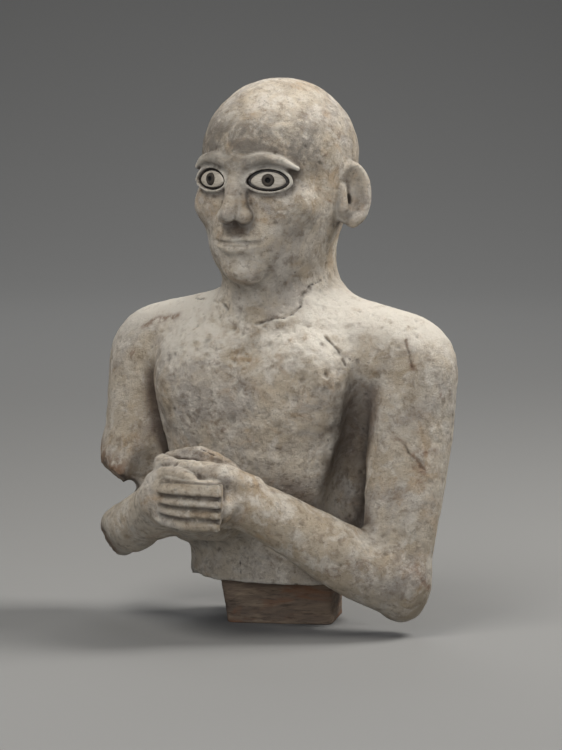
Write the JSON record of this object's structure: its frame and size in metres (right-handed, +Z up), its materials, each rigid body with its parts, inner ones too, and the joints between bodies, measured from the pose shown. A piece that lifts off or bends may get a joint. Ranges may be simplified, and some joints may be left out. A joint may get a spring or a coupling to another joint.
{
  "type": "bust",
  "caption": "Ancient votive bust of a praying figure in pale alabaster with inlaid eyes, clasped hands and a broken arm, cut flat at the waist on a rough dark block.",
  "frame": {"origin": "on the block's underside, under the middle of the figure", "axes": "+Z up through the crown of the head; the figure faces -Y; +X is the figure's own left"},
  "size_m": [0.1859, 0.1349, 0.2601],
  "materials": {
    "alabaster": "smoothed by hand, weathered and pitted",
    "dark_block": "rough sawn",
    "bitumen": "matt black bitumen",
    "shell": "polished shell",
    "iris_stone": "polished dark stone"
  },
  "bodies": {
    "root": {"bust": "alabaster", "base_block": "dark_block", "eye_setting_left": "bitumen", "eye_setting_right": "bitumen", "eye_left": "shell", "eye_right": "shell", "iris_left": "iris_stone", "iris_right": "iris_stone"}
  },
  "joints": []
}
